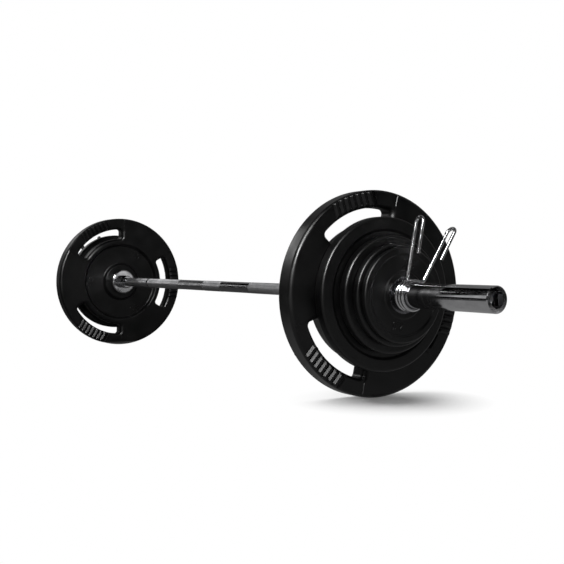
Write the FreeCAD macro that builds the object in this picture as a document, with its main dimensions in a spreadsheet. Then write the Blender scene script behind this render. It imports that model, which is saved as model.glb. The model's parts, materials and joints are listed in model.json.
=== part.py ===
import FreeCAD, Part
import math
import os
import re
import Sketcher

# A loaded olympic barbell. The bar lies along X with its middle at the origin, Z is up, and it rests on its
# largest plates. Lengths are in millimetres, angles in degrees.
SIZES = {
    # bar, end to end, and the gap between its two inner collars
    "bar_length": 2200,
    "collar_span": 1310,
    # shaft, with a turned spigot and a tapped hole at each end and a ring mark on each side
    "shaft_dia": 28,
    "shoulder_inset": 13,
    "shoulder_step": 1.5,
    "spigot_edge": 1.5,
    "tap_depth": 36,
    "ring_mark_span": 910,
    "ring_mark_width": 5,
    "ring_mark_depth": 0.5,
    # inner collar, a barrel and a flange, with a socket for the sleeve tube
    "collar_length": 52,
    "barrel_wall": 5,
    "barrel_edge": 4,
    "flange_dia": 80,
    "flange_width": 19,
    "flange_round": 4,
    "socket_depth": 15,
    # sleeve tube and the two bushes that it turns on
    "sleeve_dia": 50,
    "sleeve_edge": 2,
    "bush_wall": 3.5,
    "bush_seat_step": 1,
    "inner_bush_length": 60,
    "outer_bush_length": 42,
    # end bolt and its washers, at the bottom of the recess in the sleeve's end
    "head_recess": 20,
    "bolt_dia": 12,
    "bolt_reach": 30,
    "head_flats": 19,
    "head_height": 7.5,
    "head_crown_inset": 0.6,
    "thrust_washer_thickness": 4,
    "lock_washer_overhang": 1,
    "lock_washer_thickness": 3,
    "lock_washer_split_angle": 12,
    # running and seating clearances
    "turning_clearance": 0.05,
    "shaft_clearance": 0.3,
    "end_float": 0.3,
    "tap_clearance": 0.05,
    "washer_clearance": 0.2,
    "washer_rim_clearance": 0.5,
    "plate_clearance": 0.4,
    "plate_gap": 0.1,
    # steel hub ring in the bore of every plate, and the rubber on the edges of every core
    "hub_ring_dia": 74,
    "hub_ring_edge": 2,
    "rubber_edge": 5,
    "dish_round": 3,
    # each plate: radius, thickness, hub and rim of full thickness, dish between them, rubber on the faces;
    # the largest plate's rim goes in to the land inside its slots
    "plate45_radius": 215,
    "plate45_thickness": 48,
    "plate45_hub_width": 19,
    "plate45_dish_depth": 11,
    "plate45_dish_slope": 7,
    "plate45_rim_round": 9,
    "plate45_rubber_face": 9,
    "plate25_radius": 159,
    "plate25_thickness": 29,
    "plate25_hub_width": 13,
    "plate25_rim_width": 25,
    "plate25_dish_depth": 3.5,
    "plate25_dish_slope": 5,
    "plate25_rim_round": 6,
    "plate25_rubber_face": 2.5,
    "plate10_radius": 120,
    "plate10_thickness": 23,
    "plate10_hub_width": 11,
    "plate10_rim_width": 19,
    "plate10_dish_depth": 3.5,
    "plate10_dish_slope": 5,
    "plate10_rim_round": 6,
    "plate10_rubber_face": 2.5,
    "plate5_radius": 104,
    "plate5_thickness": 18,
    "plate5_hub_width": 10,
    "plate5_rim_width": 16,
    "plate5_dish_depth": 2.5,
    "plate5_dish_slope": 4,
    "plate5_rim_round": 5,
    "plate5_rubber_face": 3,
    "plate2_radius": 96,
    "plate2_thickness": 15,
    "plate2_hub_width": 9,
    "plate2_rim_width": 13,
    "plate2_dish_depth": 2,
    "plate2_dish_slope": 3,
    "plate2_rim_round": 4,
    "plate2_rubber_face": 3.5,
    # three grip slots in the largest plate, the sunk grip outside each, and the ribs on it
    "slot_margin": 36.5,
    "slot_height": 33,
    "slot_land": 17.5,
    "slot_half_angle": 29.8,
    "slot_corner": 8.5,
    "slot_round": 12,
    "slot_count": 3,
    "grip_end_angle": 1.7,
    "grip_depth": 1.5,
    "rib_count": 7,
    "rib_pitch": 14.5,
    "groove_width": 7.5,
    "groove_depth": 4.5,
    "cut_overrun": 5,
    # turn of each side's largest plate about the bar, from +Y towards +Z
    "right_slot_angle": 107.7,
    "left_slot_angle": 238.6,
    # spring collar, one bent wire: a coil on the sleeve and a hairpin handle at each end
    "wire_dia": 7,
    "coil_clearance": 0.3,
    "coil_seat_gap": 0.8,
    "coil_gap": 2.4,
    "coil_turns": 3,
    "handle_lean": 68.5,
    "handle_spread": 21,
    "handle_wrap": 19,
    "handle_bend": 8,
    "handle_reach": 158,
    "hairpin_width": 22,
    "return_end_radius": 84,
}

# Stations along the bar and radii that several pieces share, worked out from the sizes.
PLACES = {
    "bar_half": "bar_length / 2",
    "collar_face": "collar_span / 2",
    "shoulder": "collar_face + shoulder_inset",
    "plate_seat": "collar_face + collar_length",
    "tube_start": "plate_seat - socket_depth",
    "inner_bush_start": "shoulder + end_float",
    "inner_bush_end": "inner_bush_start + inner_bush_length",
    "head_start": "bar_half - head_recess - head_height",
    "lock_washer_start": "head_start - lock_washer_thickness",
    "shaft_end": "lock_washer_start - thrust_washer_thickness",
    "outer_bush_end": "shaft_end - end_float",
    "outer_bush_start": "outer_bush_end - outer_bush_length",
    "shaft_radius": "shaft_dia / 2",
    "spigot_radius": "shaft_radius - shoulder_step",
    "bush_radius": "spigot_radius + bush_wall",
    "bush_bore_radius": "spigot_radius + turning_clearance",
    "tube_bore_radius": "bush_radius - bush_seat_step",
    "barrel_radius": "bush_radius + barrel_wall",
    "sleeve_radius": "sleeve_dia / 2",
    "bolt_radius": "bolt_dia / 2",
    "hub_ring_radius": "hub_ring_dia / 2",
    "slot_outer_radius": "plate45_radius - slot_margin",
    "slot_middle_radius": "slot_outer_radius - slot_height / 2",
    "slot_inner_radius": "slot_outer_radius - slot_height",
    "plate45_rim_width": "slot_margin + slot_height + slot_land",
}

SIDES = ("right", "left")
PLATES = ("plate45", "plate25", "plate10", "plate5", "plate2")
PLATE_LABELS = {"plate45": "plate_45", "plate25": "plate_25", "plate10": "plate_10", "plate5": "plate_5",
                "plate2": "plate_2_5"}
FULL_TURN = 360
HALF_TURN = 180
QUARTER_TURN = 90
# from one corner of a hex head to the next
HEAD_TURN = 60
# how closely an edge has to lie where it is looked for, as a share of the size beside it
MATCH_SHARE = 1e-4
# step along the wire between the points that its gaps are measured at, as a share of its diameter
GAP_STEP_SHARE = 0.25

doc = FreeCAD.newDocument("barbell")
sheet = doc.addObject("Spreadsheet::Sheet", "sizes")
for row, (alias, value) in enumerate(SIZES.items(), start=1):
    sheet.set(f"A{row}", alias)
    sheet.set(f"B{row}", str(value))
    sheet.setAlias(f"B{row}", alias)
doc.recompute()

subparts = []


def size(alias):
    """The present value of a driving size."""
    return float(sheet.get(alias))


def formula(words):
    """An expression in plain names, with each name turned into cells of the sheet."""
    def cell(match):
        name = match.group()
        if name in PLACES:
            return f"({formula(PLACES[name])})"
        return f"sizes.{name}" if name in SIZES else name
    return re.sub(r"[a-z]\w*", cell, words)


def new_body(name):
    """An empty body, whose label is its node's name."""
    body = doc.addObject("PartDesign::Body", name)
    body.Label = name
    return body


def keep(piece):
    """Put a finished piece on the list of sub-parts."""
    subparts.append(piece)
    return piece


def face_outwards(piece, side):
    """Turn a left-hand piece half round about Z, so that it faces the other end of the bar."""
    if side == "left":
        half_round = FreeCAD.Rotation(FreeCAD.Vector(0, 0, 1), HALF_TURN)
        piece.Placement = FreeCAD.Placement(FreeCAD.Vector(), half_round)
    return piece


def origin_feature(body, role):
    """One of a body's own origin planes or axes."""
    return next(feature for feature in body.Origin.OriginFeatures if feature.Role == role)


def new_sketch(body, name, plane, offset=None):
    """A sketch on an origin plane of its body, moved along the plane's normal by an expression."""
    sketch = body.newObject("Sketcher::SketchObject", name)
    sketch.AttachmentSupport = [(origin_feature(body, plane), "")]
    sketch.MapMode = "FlatFace"
    if offset:
        sketch.setExpression("AttachmentOffset.Base.z", formula(offset))
    return sketch


def bind(sketch, constraint, words):
    """Add a dimension to a sketch and bind it to an expression."""
    index = sketch.addConstraint(constraint)
    sketch.setExpression(f"Constraints[{index}]", formula(words))


def add_outline(sketch, corners):
    """A closed straight-sided outline, each corner a pair of expressions."""
    count = len(corners)
    first = sketch.GeometryCount
    turns = [math.tau * number / count for number in range(count)]
    ring = [FreeCAD.Vector(math.cos(turn), math.sin(turn)) for turn in turns]
    for number in range(count):
        sketch.addGeometry(Part.LineSegment(ring[number], ring[(number + 1) % count]))
    for number in range(count):
        following = first + (number + 1) % count
        sketch.addConstraint(Sketcher.Constraint("Coincident", first + number, 2, following, 1))
    for number, (across, up) in enumerate(corners):
        line = first + number
        bind(sketch, Sketcher.Constraint("DistanceX", -1, 1, line, 1, ring[number].x), across)
        bind(sketch, Sketcher.Constraint("DistanceY", -1, 1, line, 1, ring[number].y), up)


def turned(name, corners, sweep=None):
    """A body turned about the bar's axis from an outline of (station, radius) corners."""
    body = new_body(name)
    sketch = new_sketch(body, name + "_outline", "XZ_Plane")
    add_outline(sketch, corners)
    turning = body.newObject("PartDesign::Revolution", name + "_turned")
    turning.Profile = sketch
    turning.ReferenceAxis = (sketch, ["H_Axis"])
    turning.Angle = FULL_TURN
    if sweep:
        turning.setExpression("Angle", formula(sweep))
    return body


def round_edges(body, name, edges, radius):
    """Round the named edges of a body's last feature."""
    base = body.Tip
    rounding = body.newObject("PartDesign::Fillet", name)
    rounding.Base = (base, edges)
    rounding.setExpression("Radius", formula(radius))
    doc.recompute()


def round_circles(body, name, circle_radii, radius):
    """Round every full circle about the axis that has one of the given radii."""
    doc.recompute()
    edges = []
    for number, edge in enumerate(body.Tip.Shape.Edges, start=1):
        if isinstance(edge.Curve, Part.Circle):
            if any(math.isclose(edge.Curve.Radius, circle_radius) for circle_radius in circle_radii):
                edges.append(f"Edge{number}")
    round_edges(body, name, edges, radius)


# Bar: the shaft and, on each side, a sleeve that turns on two bushes and is held on by a bolt

def make_shaft():
    """The shaft, from a half outline that is the same at both ends."""
    half = [
        ("shaft_end - tap_depth", "0"),
        ("shaft_end - tap_depth", "bolt_radius + tap_clearance"),
        ("shaft_end", "bolt_radius + tap_clearance"),
        ("shaft_end", "spigot_radius - spigot_edge"),
        ("shaft_end - spigot_edge", "spigot_radius"),
        ("shoulder", "spigot_radius"),
        ("shoulder", "shaft_radius"),
        ("(ring_mark_span + ring_mark_width) / 2", "shaft_radius"),
        ("(ring_mark_span + ring_mark_width) / 2", "shaft_radius - ring_mark_depth"),
        ("(ring_mark_span - ring_mark_width) / 2", "shaft_radius - ring_mark_depth"),
        ("(ring_mark_span - ring_mark_width) / 2", "shaft_radius"),
    ]
    other_half = [(f"-({station})", radius) for station, radius in reversed(half)]
    keep(turned("shaft", half + other_half))


def make_inner_collar(side):
    """Barrel and flange that the plates seat against, with a socket for the sleeve tube."""
    body = turned(f"{side}_inner_collar", [
        ("collar_face", "shaft_radius + shaft_clearance"),
        ("collar_face", "barrel_radius - barrel_edge"),
        ("collar_face + barrel_edge", "barrel_radius"),
        ("plate_seat - flange_width", "barrel_radius"),
        ("plate_seat - flange_width", "flange_dia / 2"),
        ("plate_seat", "flange_dia / 2"),
        ("plate_seat", "sleeve_radius"),
        ("tube_start", "sleeve_radius"),
        ("tube_start", "bush_radius"),
        ("inner_bush_start", "bush_radius"),
        ("inner_bush_start", "shaft_radius + shaft_clearance"),
    ])
    round_circles(body, f"{side}_flange_edges", [size("flange_dia") / 2], "flange_round")
    keep(face_outwards(body, side))


def make_sleeve_tube(side):
    """Loading sleeve, bored for a bush at each end and open at its outer end."""
    keep(face_outwards(turned(f"{side}_sleeve_tube", [
        ("tube_start", "bush_radius"),
        ("tube_start", "sleeve_radius"),
        ("bar_half - sleeve_edge", "sleeve_radius"),
        ("bar_half", "sleeve_radius - sleeve_edge"),
        ("bar_half", "bush_radius"),
        ("outer_bush_start", "bush_radius"),
        ("outer_bush_start", "tube_bore_radius"),
        ("inner_bush_end", "tube_bore_radius"),
        ("inner_bush_end", "bush_radius"),
    ]), side))


def make_ring(name, side, start, end, bore, rim, sweep=None):
    """A plain ring about the bar, whole or split."""
    corners = [(start, bore), (start, rim), (end, rim), (end, bore)]
    keep(face_outwards(turned(f"{side}_{name}", corners, sweep), side))


def make_end_bolt(side):
    """Hex bolt that holds the sleeve on, its shank in the shaft's tapped hole and its corners crowned."""
    body = new_body(f"{side}_end_bolt")
    head_sketch = new_sketch(body, f"{side}_head_outline", "YZ_Plane", "head_start")
    corner = f"head_flats / 2 / cos({HEAD_TURN / 2})"
    turns = range(0, FULL_TURN, HEAD_TURN)
    add_outline(head_sketch, [(f"{corner} * cos({turn})", f"{corner} * sin({turn})") for turn in turns])
    head = body.newObject("PartDesign::Pad", f"{side}_bolt_head")
    head.Profile = head_sketch
    head.setExpression("Length", formula("head_height"))
    shank_sketch = new_sketch(body, f"{side}_shank_outline", "XZ_Plane")
    add_outline(shank_sketch, [
        ("shaft_end - bolt_reach", "0"),
        ("shaft_end - bolt_reach", "bolt_radius"),
        ("head_start", "bolt_radius"),
        ("head_start", "0"),
    ])
    shank = body.newObject("PartDesign::Revolution", f"{side}_bolt_shank")
    shank.Profile = shank_sketch
    shank.ReferenceAxis = (shank_sketch, ["H_Axis"])
    shank.Angle = FULL_TURN
    crown_sketch = new_sketch(body, f"{side}_crown_outline", "XZ_Plane")
    crown = "head_flats / 2 - head_crown_inset"
    beyond = f"{corner} + cut_overrun"
    add_outline(crown_sketch, [
        ("head_start + head_height", crown),
        ("head_start + head_height", beyond),
        (f"head_start + head_height - ({beyond} - ({crown})) * tan({HEAD_TURN / 2})", beyond),
    ])
    crowning = body.newObject("PartDesign::Groove", f"{side}_bolt_crown")
    crowning.Profile = crown_sketch
    crowning.ReferenceAxis = (crown_sketch, ["H_Axis"])
    crowning.Angle = FULL_TURN
    keep(face_outwards(body, side))


def make_sleeve_assembly(side):
    """Everything on one end of the shaft."""
    make_inner_collar(side)
    make_sleeve_tube(side)
    make_ring("inner_bush", side, "inner_bush_start", "inner_bush_end", "bush_bore_radius", "bush_radius")
    make_ring("outer_bush", side, "outer_bush_start", "outer_bush_end", "bush_bore_radius", "bush_radius")
    make_ring("thrust_washer", side, "shaft_end", "lock_washer_start", "bolt_radius + washer_clearance",
              "bush_radius - washer_rim_clearance")
    make_ring("lock_washer", side, "lock_washer_start", "head_start", "bolt_radius + washer_clearance",
              "head_flats / 2 + lock_washer_overhang", f"{FULL_TURN} - lock_washer_split_angle")
    make_end_bolt(side)


# Plates: a rubber cover moulded over an iron core, with a steel ring in the bore

def add_sector(sketch, inner, outer, half_angle):
    """Two arcs about the axis, joined by rays on both sides of the sketch's first axis.

    Each size is a pair, its expression and its present value.
    """
    turn = math.radians(half_angle[1])
    axis = FreeCAD.Vector(0, 0, 1)
    ray = FreeCAD.Vector(math.cos(turn), math.sin(turn))
    low_ray = FreeCAD.Vector(ray.x, -ray.y)
    far, near, upper, lower = range(4)
    sketch.addGeometry(Part.ArcOfCircle(Part.Circle(FreeCAD.Vector(), axis, outer[1]), -turn, turn))
    sketch.addGeometry(Part.ArcOfCircle(Part.Circle(FreeCAD.Vector(), axis, inner[1]), -turn, turn))
    sketch.addGeometry(Part.LineSegment(ray * inner[1], ray * outer[1]))
    sketch.addGeometry(Part.LineSegment(low_ray * inner[1], low_ray * outer[1]))
    sketch.addConstraint([
        Sketcher.Constraint("Coincident", far, 3, -1, 1),
        Sketcher.Constraint("Coincident", near, 3, -1, 1),
        Sketcher.Constraint("Coincident", upper, 1, near, 2),
        Sketcher.Constraint("Coincident", upper, 2, far, 2),
        Sketcher.Constraint("Coincident", lower, 1, near, 1),
        Sketcher.Constraint("Coincident", lower, 2, far, 1),
        Sketcher.Constraint("PointOnObject", -1, 1, upper),
        Sketcher.Constraint("PointOnObject", -1, 1, lower),
    ])
    height = f"({inner[0]}) * sin({half_angle[0]})"
    bind(sketch, Sketcher.Constraint("Radius", far, outer[1]), outer[0])
    bind(sketch, Sketcher.Constraint("Radius", near, inner[1]), inner[0])
    for line, words, value in ((upper, height, ray.y), (lower, f"-{height}", low_ray.y)):
        bind(sketch, Sketcher.Constraint("DistanceY", -1, 1, line, 1, value * inner[1]), words)


def cut_slots(body, name, thickness, wall="0", wall_size=0):
    """Grip slots round the plate, with a wall left beside them."""
    sketch = new_sketch(body, name + "_outline", "YZ_Plane")
    wall_angle = f"{wall} / slot_middle_radius * {HALF_TURN} / pi"
    wall_turn = math.degrees(wall_size / slot_middle())
    add_sector(
        sketch,
        (f"slot_inner_radius - {wall}", slot_middle() - size("slot_height") / 2 - wall_size),
        (f"slot_outer_radius + {wall}", slot_middle() + size("slot_height") / 2 + wall_size),
        (f"slot_half_angle + {wall_angle}", size("slot_half_angle") + wall_turn),
    )
    slot = body.newObject("PartDesign::Pocket", name)
    slot.Profile = sketch
    slot.Reversed = True
    slot.setExpression("Length", formula(thickness))
    repeat_round(body, name + "s", [slot])


def slot_middle():
    """Radius of the slots' middle line."""
    return size("plate45_radius") - size("slot_margin") - size("slot_height") / 2


def slot_edges(body, wanted):
    """Edges of a body's last feature that pass a test and lie within the ring that the slots are in."""
    reach = size("slot_height") / 2 * (1 + MATCH_SHARE)
    names = []
    for number, edge in enumerate(body.Tip.Shape.Edges, start=1):
        point = edge.valueAt((edge.FirstParameter + edge.LastParameter) / 2)
        if abs(math.hypot(point.y, point.z) - slot_middle()) < reach and wanted(edge, point):
            names.append(f"Edge{number}")
    return names


def round_slots(body, name, thickness):
    """Round the corners of the slots and their rims on both faces, so that the grip fills the fingers."""
    def is_corner(edge, point):
        return isinstance(edge.Curve, Part.Line) and abs(edge.Curve.Direction.x) > 1 - MATCH_SHARE

    def is_rim(edge, point):
        return min(abs(point.x), abs(point.x - thickness)) < thickness * MATCH_SHARE

    round_edges(body, name + "_corners", slot_edges(body, is_corner), "slot_corner")
    round_edges(body, name + "_rims", slot_edges(body, is_rim), "slot_round")


def repeat_round(body, name, features):
    """Repeat cuts evenly about the bar's axis."""
    pattern = body.newObject("PartDesign::PolarPattern", name)
    pattern.Originals = features
    pattern.Axis = (origin_feature(body, "X_Axis"), [""])
    pattern.Angle = FULL_TURN
    pattern.Occurrences = int(size("slot_count"))
    body.Tip = pattern
    doc.recompute()


def sunk_grip_sketch(body, name, offset):
    """The sector outside a slot where the grip is sunk below the plate's face."""
    sketch = new_sketch(body, name, "YZ_Plane", offset)
    add_sector(
        sketch,
        ("slot_middle_radius", slot_middle()),
        ("plate45_radius + cut_overrun", size("plate45_radius") + size("cut_overrun")),
        ("slot_half_angle + grip_end_angle", size("slot_half_angle") + size("grip_end_angle")),
    )
    return sketch


def groove_sketch(body, name, offset):
    """The gaps between the ribs of a grip, all along the slot's middle line."""
    sketch = new_sketch(body, name, "YZ_Plane", offset)
    count = int(size("rib_count")) + 1
    for number in range(count):
        middle = f"({number} - {count - 1} / 2) * rib_pitch"
        low = f"{middle} - groove_width / 2"
        high = f"{middle} + groove_width / 2"
        add_outline(sketch, [
            ("slot_middle_radius", low),
            ("plate45_radius + cut_overrun", low),
            ("plate45_radius + cut_overrun", high),
            ("slot_middle_radius", high),
        ])
    return sketch


def cut_grips(body, name):
    """Sunk, ribbed grips outside the slots, on both faces of the plate."""
    cuts = []
    for face, offset in (("inner", None), ("outer", "plate45_thickness")):
        for kind, make_sketch, depth in (("grip", sunk_grip_sketch, "grip_depth"),
                                         ("groove", groove_sketch, "groove_depth")):
            cut = body.newObject("PartDesign::Pocket", f"{name}_{face}_{kind}")
            cut.Profile = make_sketch(body, f"{name}_{face}_{kind}_outline", offset)
            cut.Reversed = offset is None
            cut.setExpression("Length", formula(depth))
            cuts.append(cut)
    repeat_round(body, name + "_grips", cuts)


def place_plate(piece, side, plate):
    """Set a plate's piece on its sleeve, outside the plates nearer to the collar."""
    nearer = PLATES[:PLATES.index(plate)]
    stack = "".join(f" + {other}_thickness + plate_gap" for other in nearer)
    station = f"plate_seat + plate_gap{stack}"
    turn = FreeCAD.Rotation(FreeCAD.Vector(1, 0, 0), size(f"{side}_slot_angle"))
    if side == "left":
        turn = turn * FreeCAD.Rotation(FreeCAD.Vector(0, 1, 0), HALF_TURN)
        station = f"-({station})"
    piece.Placement = FreeCAD.Placement(FreeCAD.Vector(), turn)
    piece.setExpression("Placement.Base.x", formula(station))
    return piece


def dish_circles(plate):
    """Radii where a plate's dish starts and ends on its faces and on its floor, from the hub outwards."""
    hub = f"hub_ring_radius + {plate}_hub_width"
    rim = f"{plate}_radius - {plate}_rim_width"
    return hub, f"{hub} + {plate}_dish_slope", f"{rim} - {plate}_dish_slope", rim


def dish_radii(plate):
    """Present values of those radii."""
    slope = size(f"{plate}_dish_slope")
    hub = size("hub_ring_dia") / 2 + size(f"{plate}_hub_width")
    if plate == "plate45":
        rim = slot_middle() - size("slot_height") / 2 - size("slot_land")
    else:
        rim = size(f"{plate}_radius") - size(f"{plate}_rim_width")
    return [hub, hub + slope, rim - slope, rim]


def make_core(side, plate):
    """Iron casting: a web as thick as the dish leaves it, and a heavy rim."""
    rim_start = f"{dish_circles(plate)[-1]} + rubber_edge"
    rim_end = f"{plate}_radius - rubber_edge"
    web_face = f"{plate}_dish_depth + {plate}_rubber_face"
    body = turned(f"{side}_{PLATE_LABELS[plate]}_core", [
        (web_face, "hub_ring_radius"),
        (web_face, rim_start),
        (f"{plate}_rubber_face", rim_start),
        (f"{plate}_rubber_face", rim_end),
        (f"{plate}_thickness - {plate}_rubber_face", rim_end),
        (f"{plate}_thickness - {plate}_rubber_face", rim_start),
        (f"{plate}_thickness - ({web_face})", rim_start),
        (f"{plate}_thickness - ({web_face})", "hub_ring_radius"),
    ])
    if plate == "plate45":
        cut_slots(body, f"{side}_core_slot", f"{plate}_thickness", "rubber_edge", size("rubber_edge"))
    return keep(place_plate(body, side, plate))


def make_cover(side, plate, core):
    """Rubber cover: full thickness at hub and rim, dished between, and hollow for its core."""
    label = f"{side}_{PLATE_LABELS[plate]}_cover"
    hub, floor_start, floor_end, rim = dish_circles(plate)
    body = turned(label + "_form", [
        ("0", "hub_ring_radius"),
        ("0", hub),
        (f"{plate}_dish_depth", floor_start),
        (f"{plate}_dish_depth", floor_end),
        ("0", rim),
        ("0", f"{plate}_radius"),
        (f"{plate}_thickness", f"{plate}_radius"),
        (f"{plate}_thickness", rim),
        (f"{plate}_thickness - {plate}_dish_depth", floor_end),
        (f"{plate}_thickness - {plate}_dish_depth", floor_start),
        (f"{plate}_thickness", hub),
        (f"{plate}_thickness", "hub_ring_radius"),
    ])
    round_circles(body, label + "_rim", [size(f"{plate}_radius")], f"{plate}_rim_round")
    round_circles(body, label + "_dish", dish_radii(plate), "dish_round")
    if plate == "plate45":
        cut_slots(body, label + "_slot", f"{plate}_thickness")
        round_slots(body, label + "_slot", size(f"{plate}_thickness"))
        cut_grips(body, label)
    place_plate(body, side, plate)
    cover = doc.addObject("Part::Cut", label)
    cover.Label = label
    cover.Base = body
    cover.Tool = core
    keep(cover)


def make_hub_ring(side, plate):
    """Steel ring in the plate's bore, with its edges broken for the sleeve."""
    bore = "sleeve_radius + plate_clearance"
    body = turned(f"{side}_{PLATE_LABELS[plate]}_hub_ring", [
        ("0", f"{bore} + hub_ring_edge"),
        ("0", "hub_ring_radius"),
        (f"{plate}_thickness", "hub_ring_radius"),
        (f"{plate}_thickness", f"{bore} + hub_ring_edge"),
        (f"{plate}_thickness - hub_ring_edge", bore),
        ("hub_ring_edge", bore),
    ])
    keep(place_plate(body, side, plate))


def make_plate(side, plate):
    """One plate, from the inside out."""
    core = make_core(side, plate)
    make_cover(side, plate, core)
    make_hub_ring(side, plate)


# Spring collar: round wire wound on the sleeve, each end bent up into a hairpin handle

def across(angle):
    """The unit vector square to the bar at an angle from +Y towards +Z."""
    turn = math.radians(angle)
    return FreeCAD.Vector(0, math.cos(turn), math.sin(turn))


def unit(vector):
    """The vector's direction."""
    return vector / vector.Length


def arc_between(start, corner, end):
    """The arc from start to end that is tangent to both lines through the corner."""
    chord_middle = (start + end) / 2
    half_chord = (end - start).Length / 2
    lean = math.acos(half_chord / (corner - start).Length)
    crown = chord_middle + unit(corner - chord_middle) * (half_chord * math.tan(lean / 2))
    return Part.Arc(start, crown, end).toShape()


def biarc(start, start_way, end, end_way):
    """Two arcs that leave start along one way, meet smoothly and reach end along the other."""
    chord = end - start
    ways = start_way + end_way
    spread = 2 * (1 - start_way.dot(end_way))
    along = chord.dot(ways)
    reach = (math.sqrt(along ** 2 + spread * chord.dot(chord)) - along) / spread
    first_corner = start + start_way * reach
    second_corner = end - end_way * reach
    joint = (first_corner + second_corner) / 2
    return [arc_between(start, first_corner, joint), arc_between(joint, second_corner, end)]


def wire_tube(edges):
    """Round wire along a path of lines and arcs."""
    path = Part.Wire(edges)
    start = edges[0].firstVertex().Point
    way = edges[0].tangentAt(edges[0].FirstParameter)
    section = Part.Wire(Part.Circle(start, way, size("wire_dia") / 2).toShape())
    return path.makePipeShell([section], True, False)


def coil_sizes():
    """The coil's radius, lead, start station, start angle and how far its turns run."""
    stack = sum(size(f"{plate}_thickness") + size("plate_gap") for plate in PLATES)
    seat = size("collar_span") / 2 + size("collar_length") + stack
    radius = size("sleeve_dia") / 2 + size("coil_clearance") + size("wire_dia") / 2
    lead = size("wire_dia") + size("coil_gap")
    station = seat + size("coil_seat_gap") + size("wire_dia") / 2
    start_angle = size("handle_lean") + size("handle_spread") / 2 - size("handle_wrap")
    end_angle = size("handle_lean") - size("handle_spread") / 2 + size("handle_wrap")
    sweep = FULL_TURN * size("coil_turns") - (end_angle - start_angle)
    return radius, lead, station, start_angle, sweep


def coil_point(travel):
    """Place and way of the coil's middle line after a travel in degrees."""
    radius, lead, station, start_angle, _ = coil_sizes()
    angle = start_angle - travel
    place = across(angle) * radius + FreeCAD.Vector(station + lead * travel / FULL_TURN, 0, 0)
    way = across(angle - QUARTER_TURN) * radius + FreeCAD.Vector(lead / math.tau, 0, 0)
    return place, unit(way)


def coil_edges():
    """The coil's middle line: quarter turns, with a straight run of one wire at each end."""
    sweep = coil_sizes()[-1]
    steps = math.ceil(sweep / QUARTER_TURN)
    stops = [coil_point(sweep * step / steps) for step in range(steps + 1)]
    run = size("wire_dia")
    (start, start_way), (end, end_way) = stops[0], stops[-1]
    edges = [Part.LineSegment(start - start_way * run, start).toShape()]
    for (place, way), (next_place, next_way) in zip(stops, stops[1:]):
        edges += biarc(place, way, next_place, next_way)
    edges.append(Part.LineSegment(end, end + end_way * run).toShape())
    return edges


def least_gap(edges):
    """Least clear distance between turns of the wire, measured on points of its middle line."""
    step = size("wire_dia") * GAP_STEP_SHARE
    points = Part.Wire(edges).discretize(Distance=step)
    half_turn = math.ceil(math.pi * coil_sizes()[0] / step)
    distances = []
    for number, point in enumerate(points):
        distances += [(point - other).Length for other in points[number + half_turn:]]
    return min(distances) - size("wire_dia")


def handle_edges(base, way, leg_angle):
    """A hairpin: a bend off the coil, a long leg, a loop and a short return leg on its outboard side."""
    leg = across(leg_angle)
    bend = size("handle_bend")
    turn = math.acos(way.dot(leg))
    corner = base + way * (bend * math.tan(turn / 2))
    leg_start = corner + leg * (bend * math.tan(turn / 2))
    loop = size("hairpin_width") / 2
    along = FreeCAD.Vector(1, 0, 0)
    loop_start = leg_start + leg * (size("handle_reach") - loop - leg_start.dot(leg))
    loop_crown = loop_start + (along + leg) * loop
    loop_end = loop_start + along * (loop * 2)
    return_end = loop_end + leg * (size("return_end_radius") - loop_end.dot(leg))
    return [
        arc_between(base, corner, leg_start),
        Part.LineSegment(leg_start, loop_start).toShape(),
        Part.Arc(loop_start, loop_crown, loop_end).toShape(),
        Part.LineSegment(loop_end, return_end).toShape(),
    ]


def make_wire(name, side, shape):
    """A piece of bent wire as a document object."""
    piece = doc.addObject("Part::Feature", f"{side}_{name}")
    piece.Label = f"{side}_{name}"
    piece.Shape = shape
    keep(face_outwards(piece, side))


def make_spring_collar(side):
    """The coil and its two handles."""
    edges = coil_edges()
    print(f"{side} coil: least gap to itself {least_gap(edges):.2f} mm")
    make_wire("collar_coil", side, wire_tube(edges))
    start, start_way = coil_point(0)
    end, end_way = coil_point(coil_sizes()[-1])
    run = size("wire_dia")
    spread = size("handle_spread") / 2
    inboard = handle_edges(start - start_way * run, -start_way, size("handle_lean") + spread)
    outboard = handle_edges(end + end_way * run, end_way, size("handle_lean") - spread)
    make_wire("collar_inboard_handle", side, wire_tube(inboard))
    make_wire("collar_outboard_handle", side, wire_tube(outboard))


make_shaft()
for bar_side in SIDES:
    make_sleeve_assembly(bar_side)
    for bar_plate in PLATES:
        make_plate(bar_side, bar_plate)
    make_spring_collar(bar_side)
doc.recompute()

for item in doc.Objects:
    if "Invalid" in item.State or "Error" in item.State:
        raise RuntimeError(f"{item.Label} did not build")
for piece in subparts:
    if piece.Shape.isNull() or not piece.Shape.isValid() or not piece.Shape.Solids:
        raise RuntimeError(f"{piece.Label} has no sound solid")

os.makedirs("parts", exist_ok=True)
for piece in subparts:
    piece.Shape.exportStep(f"parts/{piece.Label}.step")
print(f"{len(subparts)} sub-parts")
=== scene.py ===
"""Looks of the loaded olympic barbell, in metres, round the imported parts."""
import json
import math

import bmesh
import bpy
from mathutils import Matrix, Vector


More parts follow.
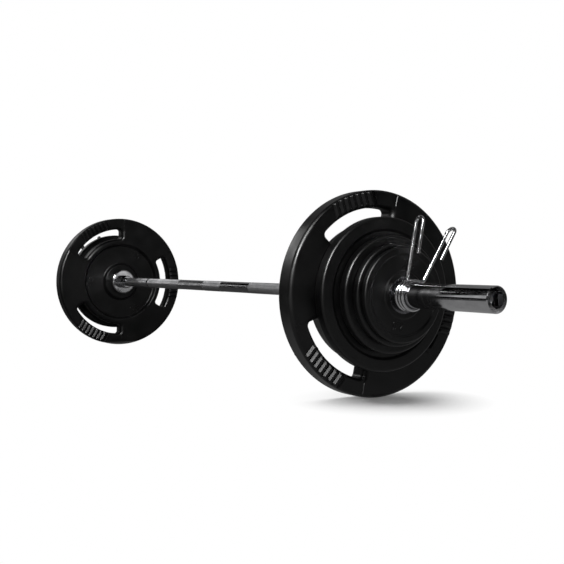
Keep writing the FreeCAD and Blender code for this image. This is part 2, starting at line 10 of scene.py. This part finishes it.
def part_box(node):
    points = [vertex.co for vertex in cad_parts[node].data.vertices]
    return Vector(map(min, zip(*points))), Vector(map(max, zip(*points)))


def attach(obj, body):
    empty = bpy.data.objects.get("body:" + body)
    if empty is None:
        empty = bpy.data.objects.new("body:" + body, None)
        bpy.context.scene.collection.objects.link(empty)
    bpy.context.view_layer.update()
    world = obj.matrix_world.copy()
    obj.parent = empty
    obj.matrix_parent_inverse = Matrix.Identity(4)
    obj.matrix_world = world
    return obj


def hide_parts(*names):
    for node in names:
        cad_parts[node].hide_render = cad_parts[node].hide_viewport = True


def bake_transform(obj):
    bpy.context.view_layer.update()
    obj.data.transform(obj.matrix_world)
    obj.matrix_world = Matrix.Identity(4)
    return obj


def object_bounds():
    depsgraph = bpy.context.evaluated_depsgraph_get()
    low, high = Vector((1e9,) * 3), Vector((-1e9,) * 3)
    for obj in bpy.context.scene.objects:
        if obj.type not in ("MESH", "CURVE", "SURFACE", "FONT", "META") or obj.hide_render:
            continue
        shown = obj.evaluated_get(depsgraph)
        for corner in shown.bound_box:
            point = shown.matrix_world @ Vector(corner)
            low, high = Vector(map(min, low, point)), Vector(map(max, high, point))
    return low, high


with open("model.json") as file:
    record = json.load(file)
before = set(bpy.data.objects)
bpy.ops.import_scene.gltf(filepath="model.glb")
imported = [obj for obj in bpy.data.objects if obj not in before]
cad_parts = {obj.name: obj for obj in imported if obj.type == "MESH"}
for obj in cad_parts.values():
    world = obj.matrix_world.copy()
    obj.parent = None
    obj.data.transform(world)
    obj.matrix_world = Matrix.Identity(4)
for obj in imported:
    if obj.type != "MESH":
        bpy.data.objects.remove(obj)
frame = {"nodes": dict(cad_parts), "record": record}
cad_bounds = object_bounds()

SIDES = {"right": 1, "left": -1}

# Photograph: a 564 pixel square, seen from the right-hand end of the bar
PHOTO_SIZE = 564
PHOTO_FOCAL = 928.5
SENSOR_WIDTH = 36
CAMERA_PLACE = Vector((2.3, -1.1515, 0.0649))
CAMERA_YAW = 2.6049
CAMERA_PITCH = -0.0209

# Bar: its radius, where the knurled bands start and end, the gap at the ring mark, and one diamond's size
SHAFT_RADIUS = 0.014
KNURL_CENTRE_HALF = 0.055
KNURL_START = 0.215
KNURL_END = 0.632
KNURL_MARK = 0.455
KNURL_MARK_HALF = 0.004
KNURL_ROUND = 40
KNURL_LENGTH = 0.0034
KNURL_DEPTH = 0.00035

# Floor: width, grey level, and distance from the near plates' foot where its painted white glow starts and
# ends, hiding any shadow further off
FLOOR_SIZE = 60
FLOOR_GREY = 0.95
FLOOR_NEAR = 0.04
FLOOR_FAR = 0.21

# Surroundings: their strength as light on the object, and where they are seen
WORLD_LIGHT = 0.4
WORLD_SEEN = 1

# Studio cards that show in shiny surfaces alone: two opposite corners, and how strongly they glow
CARDS = {
    "card_right": ((3.6, -4, -0.2), (3.6, 5, 3.2), 0),
    "card_left": ((-7, -3.2, -0.2), (2.5, -3.2, 4.5), 0),
    "card_top": ((-5.3, -3.2, 2.2), (3.6, 0.35, 2.2), 0),
    "card_glint": ((-6.2, -2, 1.6), (-6.2, 1.2, 3), 0.4),
    "card_top_back": ((-5.3, 0.35, 2.2), (3.6, 4.5, 2.2), 0.2),
    "card_strip": ((-1.1, -2.6, 0.3), (-1.1, -1.74, 1.4), 0.55),
    "card_far": ((-8, -3.2, -0.2), (-8, 4.5, 6), 0.12),
    "card_back": ((-8, 4.5, -0.2), (3.5, 4.5, 6), 0.2),
    "card_floor": ((0.2, -3.2, -0.205), (3.5, 4.4, -0.205), 0.28),
    "card_floor_far": ((-8, -3.2, -0.205), (0.2, 4.4, -0.205), 0.06),
    "card_gleam": ((3.5, 1.45, -0.13), (3.5, 1.8, 0.3), 0.8),
}

# Soft light from above: where it comes from and is aimed at, its spread, and its strength
SKY_LIGHT = ((-0.38, -0.1, 1), (0, 0, 0), math.radians(45), 2.1)

# Lamps that make highlights alone: place, point they are aimed at, width, and power
KEY_LAMP = ((-2.65, -1.15, 1.95), (0.7, -0.1, 0.1), 1.5, 25)
FRONT_LAMP = ((2, -1.7, 1.6), (0.75, 0, 0), 1, 190)

# Rubber: its colour, the colour where it is dustier, the range of its roughness, and its shine
RUBBER_BLACK = (0.0016, 0.0016, 0.0018)
RUBBER_DUSTY = (0.0036, 0.0036, 0.0039)
RUBBER_ROUGHNESS = (0.28, 0.42)
RUBBER_SHINE = 0.3

# Smears on turned metal: how fast they change along the axes
SMEAR_STRETCH = (30, 60, 60)

# Middle of a noise's range, which holds most of its values
NOISE_LOW = 0.35
NOISE_HIGH = 0.65

# Sockets of a colour mix node, whose names repeat for each kind of data
MIX_SHARE = 0
MIX_FIRST = 6
MIX_SECOND = 7
MIX_RESULT = 2

# Raised weight figures in the dish of both faces: text, distance from the bar, height, and angles round it
TOP_AND_BOTTOM = {"right": (78, 258), "left": (78, 258)}
FIGURES = {
    "plate_45": ("45", 0.106, 0.026, {"right": (47.7, 167.7, 287.7), "left": (58.6, 178.6, 298.6)}),
    "plate_25": ("25", 0.092, 0.036, TOP_AND_BOTTOM),
    "plate_10": ("10", 0.074, 0.026, TOP_AND_BOTTOM),
    "plate_5": ("5", 0.067, 0.02, TOP_AND_BOTTOM),
    "plate_2_5": ("2.5", 0.062, 0.018, TOP_AND_BOTTOM),
}

# Figures: rise above the face, root below it, eased edge, and the share of a font's size they fill
FIGURE_RISE = 0.0011
FIGURE_ROOT = 0.0003
FIGURE_EDGE = 0.0003
CAPITAL_SHARE = 0.7

# Distance from which a plate's face is looked for, well clear of the plate
FAR_OFF = 2

# Grips outside the slots of the largest plate: their middle angles, and half of one grip's sweep
GRIP_ANGLES = {"right": (107.7, 227.7, 347.7), "left": (118.6, 238.6, 358.6)}
GRIP_HALF_ANGLE = 31.5

# Rounded edges of a grip, at the slot and at the rim: radius, and where it ends or starts
SLOT_ROUND = 0.012
SLOT_ROUND_END = 0.1905
RIM_ROUND = 0.009
RIM_ROUND_START = 0.206

# Ribs across a grip: count, spacing, start and end, steps along one, and rise above the rounded edges
RIB_COUNT = 7
RIB_PITCH = 0.0145
RIB_START = 0.1815
RIB_END = 0.2128
RIB_STEPS = 20
RIB_PROUD = 0.0002

# Sections of half a rib and of the ramp at a grip's end: distance aside, and depth below the face
RIB_HALF = ((0.0016, 0.00005), (0.0024, 0.0003), (0.0072, 0.0041), (0.0072, 0.0055))
GRIP_RAMP = ((-0.0004, 0.0001), (0.0014, 0.0017), (-0.0004, 0.0022))

# Spring collar: one wire, wound outwards along the sleeve from the inboard handle
WIRE_RADIUS = 0.0035
COIL_RADIUS = 0.0288
COIL_LEAD = 0.0094
COIL_SEAT_GAP = 0.0008
COIL_START_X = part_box("right_plate_2_5_hub_ring")[1].x + COIL_SEAT_GAP + WIRE_RADIUS
COIL_START_ANGLE = math.radians(60)
COIL_SWEEP = math.radians(1063)
COIL_STEP = math.radians(7.5)
WIRE_SIDES = 24


def across(angle):
    """The unit vector square to the bar at an angle from +Y towards +Z."""
    return Vector((0, math.cos(angle), math.sin(angle)))


# Node trees

def new_material(name):
    """A material and its shader node."""
    material = bpy.data.materials.new(name)
    material.use_nodes = True
    return material, material.node_tree.nodes["Principled BSDF"]


def add_node(owner, kind, inputs=None, **settings):
    """A node with its settings, and with values or other nodes' outputs on its inputs."""
    node = owner.node_tree.nodes.new(kind)
    for name, value in settings.items():
        setattr(node, name, value)
    for name, value in (inputs or {}).items():
        join(owner, value, node.inputs[name])
    return node


def join(owner, value, socket):
    """Put a value, or a link from another node's output, on a socket."""
    if isinstance(value, bpy.types.NodeSocket):
        owner.node_tree.links.new(value, socket)
    else:
        socket.default_value = value


def object_place(material, stretch=(1, 1, 1)):
    """Places on the object, stretched along the axes."""
    coordinates = add_node(material, "ShaderNodeTexCoord").outputs["Object"]
    inputs = {"Vector": coordinates, "Scale": stretch}
    return add_node(material, "ShaderNodeMapping", inputs).outputs["Vector"]


def noise(material, place, scale, detail=4):
    """A noise that runs from 0 to 1."""
    inputs = {"Vector": place, "Scale": scale, "Detail": detail}
    return add_node(material, "ShaderNodeTexNoise", inputs).outputs["Fac"]


def spread(material, value, low, high):
    """The middle of a noise's range, spread from low to high."""
    inputs = {"Value": value, "From Min": NOISE_LOW, "From Max": NOISE_HIGH, "To Min": low, "To Max": high}
    return add_node(material, "ShaderNodeMapRange", inputs).outputs["Result"]


def mixed_colour(material, value, first, second):
    """A colour between two, by a value from 0 to 1."""
    node = add_node(material, "ShaderNodeMix", data_type="RGBA")
    join(material, value, node.inputs[MIX_SHARE])
    join(material, (*first, 1), node.inputs[MIX_FIRST])
    join(material, (*second, 1), node.inputs[MIX_SECOND])
    return node.outputs[MIX_RESULT]


def bump(material, height, depth, strength, below=None):
    """A bump of a real depth, over another where one is given."""
    inputs = {"Height": height, "Distance": depth, "Strength": strength}
    if below:
        inputs["Normal"] = below
    return add_node(material, "ShaderNodeBump", inputs).outputs["Normal"]


# Materials

def rubber_material():
    """Satin moulded rubber: a fine pebbled grain, and patches that are a little duller or dustier."""
    material, shader = new_material("black_rubber")
    place = object_place(material)
    patches = noise(material, place, scale=11)
    colour = mixed_colour(material, spread(material, patches, 0, 1), RUBBER_BLACK, RUBBER_DUSTY)
    join(material, colour, shader.inputs["Base Color"])
    dullness = noise(material, place, scale=23)
    join(material, spread(material, dullness, *RUBBER_ROUGHNESS), shader.inputs["Roughness"])
    pebbles = noise(material, place, scale=900, detail=2)
    grain = bump(material, pebbles, depth=0.0001, strength=0.3)
    surface = bump(material, patches, depth=0.0004, strength=0.25, below=grain)
    join(material, surface, shader.inputs["Normal"])
    shader.inputs["Specular IOR Level"].default_value = RUBBER_SHINE
    return material


def turned_metal(name, colour, darker, roughness, line_stretch, anisotropy):
    """Metal finished on a lathe: fine lines round the bar, with smears in its shine."""
    material, shader = new_material(name)
    lines = noise(material, object_place(material, line_stretch), scale=1, detail=3)
    smears = noise(material, object_place(material, SMEAR_STRETCH), scale=1)
    shade = mixed_colour(material, spread(material, smears, 0, 1), colour, darker)
    join(material, shade, shader.inputs["Base Color"])
    join(material, spread(material, smears, *roughness), shader.inputs["Roughness"])
    join(material, bump(material, lines, depth=0.000008, strength=0.3), shader.inputs["Normal"])
    tangent = add_node(material, "ShaderNodeTangent", direction_type="RADIAL", axis="X")
    join(material, tangent.outputs["Tangent"], shader.inputs["Tangent"])
    shader.inputs["Metallic"].default_value = 1
    shader.inputs["Anisotropic"].default_value = anisotropy
    return material


def plain_metal(name, colour, darker, roughness, grain_scale, grain_depth):
    """Drawn, cast or plated metal: a fine grain, and patches of duller surface."""
    material, shader = new_material(name)
    place = object_place(material)
    patches = noise(material, place, scale=45)
    shade = mixed_colour(material, spread(material, patches, 0, 1), colour, darker)
    join(material, shade, shader.inputs["Base Color"])
    join(material, spread(material, patches, *roughness), shader.inputs["Roughness"])
    grain = noise(material, place, grain_scale, detail=2)
    join(material, bump(material, grain, grain_depth, strength=0.4), shader.inputs["Normal"])
    shader.inputs["Metallic"].default_value = 1
    return material


MATERIALS = {
    "black_rubber": rubber_material(),
    "chromed_shaft": turned_metal(
        "chromed_shaft", (0.5, 0.5, 0.51), (0.42, 0.42, 0.43), roughness=(0.1, 0.2),
        line_stretch=(900, 20, 20), anisotropy=0.3),
    "chromed_sleeve": turned_metal(
        "chromed_sleeve", (0.55, 0.55, 0.56), (0.46, 0.46, 0.47), roughness=(0.06, 0.13),
        line_stretch=(1400, 20, 20), anisotropy=0.3),
    "hub_steel": turned_metal(
        "hub_steel", (0.2, 0.2, 0.21), (0.13, 0.13, 0.14), roughness=(0.2, 0.32),
        line_stretch=(1400, 300, 300), anisotropy=0.5),
    "bolt_steel": plain_metal(
        "bolt_steel", (0.4, 0.4, 0.41), (0.3, 0.3, 0.31), roughness=(0.3, 0.45),
        grain_scale=1200, grain_depth=0.0001),
    "bush_bronze": plain_metal(
        "bush_bronze", (0.52, 0.36, 0.17), (0.4, 0.26, 0.12), roughness=(0.3, 0.5),
        grain_scale=2500, grain_depth=0.0001),
    "iron_core": plain_metal(
        "iron_core", (0.1, 0.1, 0.1), (0.06, 0.06, 0.06), roughness=(0.5, 0.7),
        grain_scale=500, grain_depth=0.0004),
    "spring_wire": plain_metal(
        "spring_wire", (0.6, 0.6, 0.61), (0.5, 0.5, 0.51), roughness=(0.12, 0.24),
        grain_scale=2500, grain_depth=0.00002),
    "knurled_chrome": plain_metal(
        "knurled_chrome", (0.5, 0.5, 0.51), (0.42, 0.42, 0.43), roughness=(0.3, 0.42),
        grain_scale=2500, grain_depth=0.00002),
}


def dress(piece, name):
    """Give a piece one material."""
    piece.data.materials.clear()
    piece.data.materials.append(MATERIALS[name])


for part in frame["record"]["subparts"]:
    dress(frame["nodes"][part["node"]], part["material_slot"])


# Pieces

def new_piece(name, mesh_maker, material):
    """A mesh made by a function on an empty bmesh."""
    mesh = bpy.data.meshes.new(name)
    form = bmesh.new()
    mesh_maker(form)
    bmesh.ops.recalc_face_normals(form, faces=form.faces)
    form.to_mesh(mesh)
    form.free()
    piece = bpy.data.objects.new(name, mesh)
    bpy.context.scene.collection.objects.link(piece)
    dress(piece, material)
    return piece


def knurl(form, start, end):
    """Rows of diamonds on the shaft, cut by two sets of spiral grooves."""
    rows = 2 * round((end - start) / KNURL_LENGTH)
    columns = 2 * KNURL_ROUND
    grid = {}
    for row in range(rows + 1):
        station = start + (end - start) * row / rows
        for column in range(columns):
            is_peak = (row + column) % 2 == 1 and 0 < row < rows
            reach = SHAFT_RADIUS + (KNURL_DEPTH if is_peak else 0)
            place = across(math.tau * column / columns) * reach
            grid[row, column] = form.verts.new((station, place.y, place.z))
    for row in range(1, rows):
        for column in range(columns):
            if (row + column) % 2 == 1:
                around = [grid[row - 1, column], grid[row, (column - 1) % columns], grid[row + 1, column],
                          grid[row, (column + 1) % columns]]
                for first, second in zip(around, around[1:] + around[:1]):
                    form.faces.new((grid[row, column], first, second))


def add_knurling():
    """Two knurled bands for each hand, parted by the ring mark, and one in the middle of the shaft."""
    bands = ((KNURL_START, KNURL_MARK - KNURL_MARK_HALF), (KNURL_MARK + KNURL_MARK_HALF, KNURL_END))
    spans = [(-KNURL_CENTRE_HALF, KNURL_CENTRE_HALF)]
    for way in SIDES.values():
        for near, far in bands:
            spans.append(tuple(sorted((way * near, way * far))))
    for number, (start, end) in enumerate(spans, start=1):
        piece = new_piece(f"knurl_{number}", lambda form: knurl(form, start, end), "knurled_chrome")
        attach(piece, "bar")


def skin(form, rings, smooth):
    """Faces between rings of corners, with the first and the last ring closed."""
    for ring, following in zip(rings, rings[1:]):
        for corner in range(len(ring)):
            corners = (ring[corner - 1], ring[corner], following[corner], following[corner - 1])
            form.faces.new(corners).smooth = smooth
    form.faces.new(rings[0])
    form.faces.new(rings[-1])


def wire_along(form, places):
    """A round wire along a line of points, closed at both ends."""
    rings = []
    side = None
    for number, place in enumerate(places):
        before = places[max(number - 1, 0)]
        after = places[min(number + 1, len(places) - 1)]
        way = (after - before).normalized()
        side = way.orthogonal() if side is None else side - way * side.dot(way)
        side.normalize()
        other = way.cross(side)
        turns = [math.tau * corner / WIRE_SIDES for corner in range(WIRE_SIDES)]
        rings.append([form.verts.new(place + (side * math.cos(turn) + other * math.sin(turn)) * WIRE_RADIUS)
                      for turn in turns])
    skin(form, rings, smooth=True)


def coil_point(travel):
    """Place on the wire's middle line after a turn, on the right-hand side."""
    place = across(COIL_START_ANGLE - travel) * COIL_RADIUS
    place.x = COIL_START_X + COIL_LEAD * travel / math.tau
    return place


def coil_half(first, last, side):
    """Points along half of the coil, with a straight run of one wire at its outer end."""
    steps = round(abs(last - first) / COIL_STEP)
    places = [coil_point(first + (last - first) * step / steps) for step in range(steps + 1)]
    run = (places[0] - places[1]).normalized() * WIRE_RADIUS * 2
    places.insert(0, places[0] + run)
    half_round = Matrix.Rotation(0 if side == "right" else math.pi, 3, "Z")
    return [half_round @ place for place in places]


def add_coils():
    """Each coil in two halves, from each end of the wire to its middle, in place of the part's own coil."""
    middle = coil_point(COIL_SWEEP / 2).x
    for side, way in SIDES.items():
        for which, travel in (("inboard", 0), ("outboard", COIL_SWEEP)):
            places = coil_half(travel, COIL_SWEEP / 2, side)
            name = f"{side}_coil_{which}_half"
            piece = new_piece(name, lambda form: wire_along(form, places), "spring_wire")
            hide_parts(f"{side}_collar_coil")
            way * coil_point(travel).x
            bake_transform(piece)


def grip_drop(distance):
    """How far a grip's rounded edges fall below the plate's face, at a distance from the bar."""
    if distance < SLOT_ROUND_END:
        return SLOT_ROUND - math.sqrt(SLOT_ROUND ** 2 - (SLOT_ROUND_END - distance) ** 2)
    beyond = max(distance - RIM_ROUND_START, 0)
    return RIM_ROUND - math.sqrt(RIM_ROUND ** 2 - beyond ** 2)


def ridge(form, section, face, way, angle, offset=0):
    """A bar across a grip, from its slot to the rim, that follows the grip's rounded edges."""
    out = across(angle)
    along = across(angle + math.pi / 2)
    start = math.sqrt(RIB_START ** 2 - offset ** 2)
    end = math.sqrt(RIB_END ** 2 - offset ** 2)
    rings = []
    for step in range(RIB_STEPS + 1):
        travel = start + (end - start) * step / RIB_STEPS
        drop = grip_drop(math.hypot(travel, offset))
        ring = []
        for aside, depth in section:
            place = out * travel + along * (offset + aside)
            place.x = face - way * max(depth, drop - RIB_PROUD)
            ring.append(form.verts.new(place))
        rings.append(ring)
    skin(form, rings, smooth=False)


def grips(form, side):
    """The ribs of a plate's grips and the ramps at their ends, on both faces."""
    low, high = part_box(f"{side}_plate_45_cover")
    rib = [(-aside, depth) for aside, depth in reversed(RIB_HALF)] + list(RIB_HALF)
    ramps = {1: [(-aside, depth) for aside, depth in GRIP_RAMP], -1: GRIP_RAMP}
    for face, way in ((high.x, 1), (low.x, -1)):
        for middle in GRIP_ANGLES[side]:
            for number in range(RIB_COUNT):
                offset = (number - (RIB_COUNT - 1) / 2) * RIB_PITCH
                ridge(form, rib, face, way, math.radians(middle), offset)
            for end, ramp in ramps.items():
                ridge(form, ramp, face, way, math.radians(middle + end * GRIP_HALF_ANGLE))


def add_grips():
    """Raised ribs and end ramps on the largest plates' grips."""
    for side in SIDES:
        piece = new_piece(f"{side}_plate_45_ribs", lambda form: grips(form, side), "black_rubber")
        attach(piece, f"{side}_plate_45")


def figure_mesh(text, height):
    """Raised figures that face +Z, with eased edges, their root at the origin's height."""
    curve = bpy.data.curves.new(text, "FONT")
    curve.body = text
    curve.size = height / CAPITAL_SHARE
    curve.align_x = "CENTER"
    curve.align_y = "CENTER"
    curve.extrude = (FIGURE_RISE + FIGURE_ROOT) / 2 - FIGURE_EDGE
    curve.offset = -FIGURE_EDGE
    curve.bevel_depth = FIGURE_EDGE
    curve.bevel_resolution = 1
    holder = bpy.data.objects.new(text, curve)
    mesh = bpy.data.meshes.new_from_object(holder)
    bpy.data.objects.remove(holder)
    mesh.transform(Matrix.Translation((0, 0, (FIGURE_RISE - FIGURE_ROOT) / 2)))
    return mesh


def face_station(node, place, way):
    """Where a line along the bar first meets a node, coming in from one side."""
    found, point, _, _ = node.ray_cast(place + Vector((way * FAR_OFF, 0, 0)), Vector((-way, 0, 0)))
    if not found:
        raise ValueError(f"{node.name} has no face for its figures")
    return point.x


def figures(form, node, text, distance, height, angles):
    """The same figures at each angle, on both faces of a plate, upright as seen from the rim."""
    mesh = figure_mesh(text, height)
    for way in (1, -1):
        for angle in map(math.radians, angles):
            up = across(angle)
            place = up * distance
            place.x = face_station(node, place, way)
            axes = Matrix((across(angle - way * math.pi / 2), up, Vector((way, 0, 0)))).transposed()
            one = mesh.copy()
            one.transform(Matrix.Translation(place) @ axes.to_4x4())
            form.from_mesh(one)
            bpy.data.meshes.remove(one)
    bpy.data.meshes.remove(mesh)


def add_figures():
    """Weight figures on every plate."""
    for side in SIDES:
        for plate, (text, distance, height, angles) in FIGURES.items():
            node = frame["nodes"][f"{side}_{plate}_cover"]
            name = f"{side}_{plate}_figures"
            piece = new_piece(name, lambda form: figures(form, node, text, distance, height, angles[side]),
                              "black_rubber")
            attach(piece, f"{side}_{plate}")


add_knurling()
add_coils()
add_grips()
add_figures()


# Studio: pale floor, white surroundings, cards and soft lamps

def white_to_view(owner):
    """1 for rays from the camera, and for those that metal or glass sends on."""
    path = add_node(owner, "ShaderNodeLightPath")
    either = add_node(owner, "ShaderNodeMath", operation="MAXIMUM")
    join(owner, path.outputs["Is Camera Ray"], either.inputs[0])
    join(owner, path.outputs["Is Glossy Ray"], either.inputs[1])
    any_of = add_node(owner, "ShaderNodeMath", operation="MAXIMUM")
    join(owner, either.outputs["Value"], any_of.inputs[0])
    join(owner, path.outputs["Is Transmission Ray"], any_of.inputs[1])
    return any_of.outputs["Value"]


def add_world():
    """White where it is seen, and a softer light on the object."""
    world = bpy.data.worlds.new("studio")
    world.use_nodes = True
    bpy.context.scene.world = world
    background = world.node_tree.nodes["Background"]
    background.inputs["Color"].default_value = (1, 1, 1, 1)
    levels = {"Value": white_to_view(world), "To Min": WORLD_LIGHT, "To Max": WORLD_SEEN}
    strength = add_node(world, "ShaderNodeMapRange", levels)
    join(world, strength.outputs["Result"], background.inputs["Strength"])


def add_floor():
    """A wide pale floor that takes the near plates' shadow, and further off glows plain white, a painted
    light that hides any shadow there, the far plates' too.
    """
    low = cad_bounds[0].z
    bpy.ops.mesh.primitive_plane_add(size=FLOOR_SIZE, location=(0, 0, low))
    floor = bpy.context.object
    floor.name = "floor"
    material, shader = new_material("floor")
    shader.inputs["Base Color"].default_value = (FLOOR_GREY, FLOOR_GREY, FLOOR_GREY, 1)
    shader.inputs["Roughness"].default_value = 1
    shader.inputs["Specular IOR Level"].default_value = 0
    place = add_node(material, "ShaderNodeNewGeometry").outputs["Position"]
    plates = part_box("right_plate_10_cover")
    foot = (plates[0] + plates[1]) / 2
    ends = {0: place, 1: (foot.x, foot.y, low)}
    from_foot = add_node(material, "ShaderNodeVectorMath", ends, operation="DISTANCE")
    reach = {"Value": from_foot.outputs["Value"], "From Min": FLOOR_NEAR, "From Max": FLOOR_FAR}
    whiteness = add_node(material, "ShaderNodeMapRange", reach)
    share = add_node(material, "ShaderNodeMath", operation="MULTIPLY")
    join(material, white_to_view(material), share.inputs[0])
    join(material, whiteness.outputs["Result"], share.inputs[1])
    # Painted light: a white glow mixed in away from the near plates' foot, over the floor's own shading and
    # shadows
    glow = add_node(material, "ShaderNodeEmission", {"Color": (1, 1, 1, 1)})
    blend = add_node(material, "ShaderNodeMixShader", {"Fac": share.outputs["Value"]})
    join(material, shader.outputs["BSDF"], blend.inputs[1])
    join(material, glow.outputs["Emission"], blend.inputs[2])
    join(material, blend.outputs["Shader"], material.node_tree.nodes["Material Output"].inputs["Surface"])
    floor.data.materials.append(material)


def add_card(name, low, high, glow):
    """An upright or level studio card that shows in shiny surfaces alone: black, or with a plain glow."""
    first, second = (axis for axis in range(3) if low[axis] != high[axis])
    corners = []
    for first_end, second_end in ((low, low), (high, low), (high, high), (low, high)):
        corner = list(low)
        corner[first] = first_end[first]
        corner[second] = second_end[second]
        corners.append(corner)
    mesh = bpy.data.meshes.new(name)
    mesh.from_pydata(corners, [], [range(len(corners))])
    card = bpy.data.objects.new(name, mesh)
    bpy.context.scene.collection.objects.link(card)
    material, shader = new_material(name)
    shader.inputs["Base Color"].default_value = (0, 0, 0, 1)
    shader.inputs["Specular IOR Level"].default_value = 0
    shader.inputs["Emission Color"].default_value = (1, 1, 1, 1)
    shader.inputs["Emission Strength"].default_value = glow
    mesh.materials.append(material)
    card.visible_camera = False
    card.visible_diffuse = False
    card.visible_shadow = False
    card.visible_transmission = False


def add_lamp(name, place, target, size, power):
    """A soft square lamp that makes highlights alone, aimed at a point."""
    lamp = bpy.data.lights.new(name, "AREA")
    lamp.size = size
    lamp.energy = power
    holder = place_lamp(name, lamp, place, target)
    holder.visible_diffuse = False
    return holder


def add_sky(name, place, target, softness, strength):
    """Even light from far off, as soft as a wide ceiling panel, that makes no highlights."""
    lamp = bpy.data.lights.new(name, "SUN")
    lamp.angle = softness
    lamp.energy = strength
    place_lamp(name, lamp, place, target).visible_glossy = False


def leave_out(lamp, piece):
    """Keep a lamp's light off a piece."""
    group = bpy.data.collections.new(f"{lamp.name}_leaves_out")
    group.objects.link(piece)
    group.collection_objects[0].light_linking.link_state = "EXCLUDE"
    lamp.light_linking.receiver_collection = group


def place_lamp(name, lamp, place, target):
    """Hang a lamp at one point, aimed at another."""
    holder = bpy.data.objects.new(name, lamp)
    holder.location = place
    holder.rotation_euler = (Vector(target) - Vector(place)).to_track_quat("-Z", "Y").to_euler()
    bpy.context.scene.collection.objects.link(holder)
    return holder


def add_camera():
    """The photograph's view."""
    camera = bpy.data.cameras.new("camera")
    camera.sensor_width = SENSOR_WIDTH
    camera.lens = PHOTO_FOCAL / PHOTO_SIZE * SENSOR_WIDTH
    holder = bpy.data.objects.new("camera", camera)
    level = math.cos(CAMERA_PITCH)
    way = Vector((level * math.cos(CAMERA_YAW), level * math.sin(CAMERA_YAW), math.sin(CAMERA_PITCH)))
    holder.location = CAMERA_PLACE
    holder.rotation_euler = way.to_track_quat("-Z", "Y").to_euler()
    bpy.context.scene.collection.objects.link(holder)
    bpy.context.scene.camera = holder


add_world()
add_floor()
for card, place_and_glow in CARDS.items():
    add_card(card, *place_and_glow)
add_sky("ceiling", *SKY_LIGHT)
# The smooth shaft would mirror the key lamp as a white streak
leave_out(add_lamp("key", *KEY_LAMP), frame["nodes"]["shaft"])
add_lamp("front", *FRONT_LAMP)
add_camera()
bpy.context.scene.view_settings.view_transform = "Standard"
